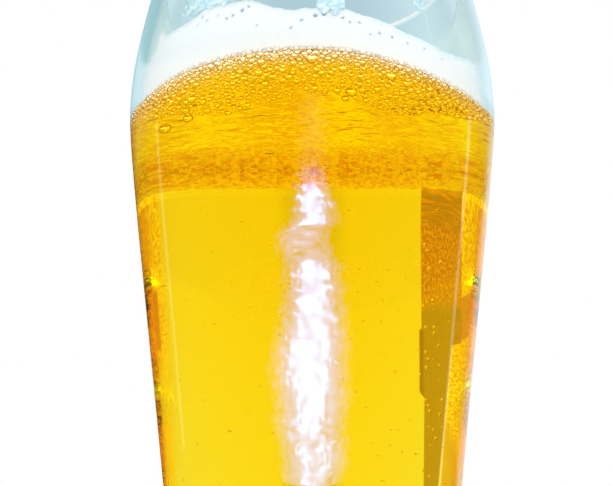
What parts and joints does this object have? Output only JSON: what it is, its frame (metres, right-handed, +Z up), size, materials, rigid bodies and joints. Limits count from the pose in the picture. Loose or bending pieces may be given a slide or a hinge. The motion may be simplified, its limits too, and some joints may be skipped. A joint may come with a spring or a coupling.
{
  "type": "beer glass",
  "caption": "Tall beer glass with a soft shoulder and a drawn-in rim, filled with golden beer under a head of white foam, with lacing on the wall.",
  "frame": {"origin": "centre of the foot, on the surface that the glass stands on", "axes": "+Z up along the glass's axis, from the foot to the rim; -Y is the front, which the picture shows"},
  "size_m": [0.082, 0.082, 0.167],
  "materials": {
    "glass": "gloss",
    "beer": "gloss",
    "foam": "matte"
  },
  "bodies": {
    "root": {"glass_body": "glass", "beer": "beer", "foam_head": "foam", "foam_lacing": "foam"}
  },
  "joints": []
}
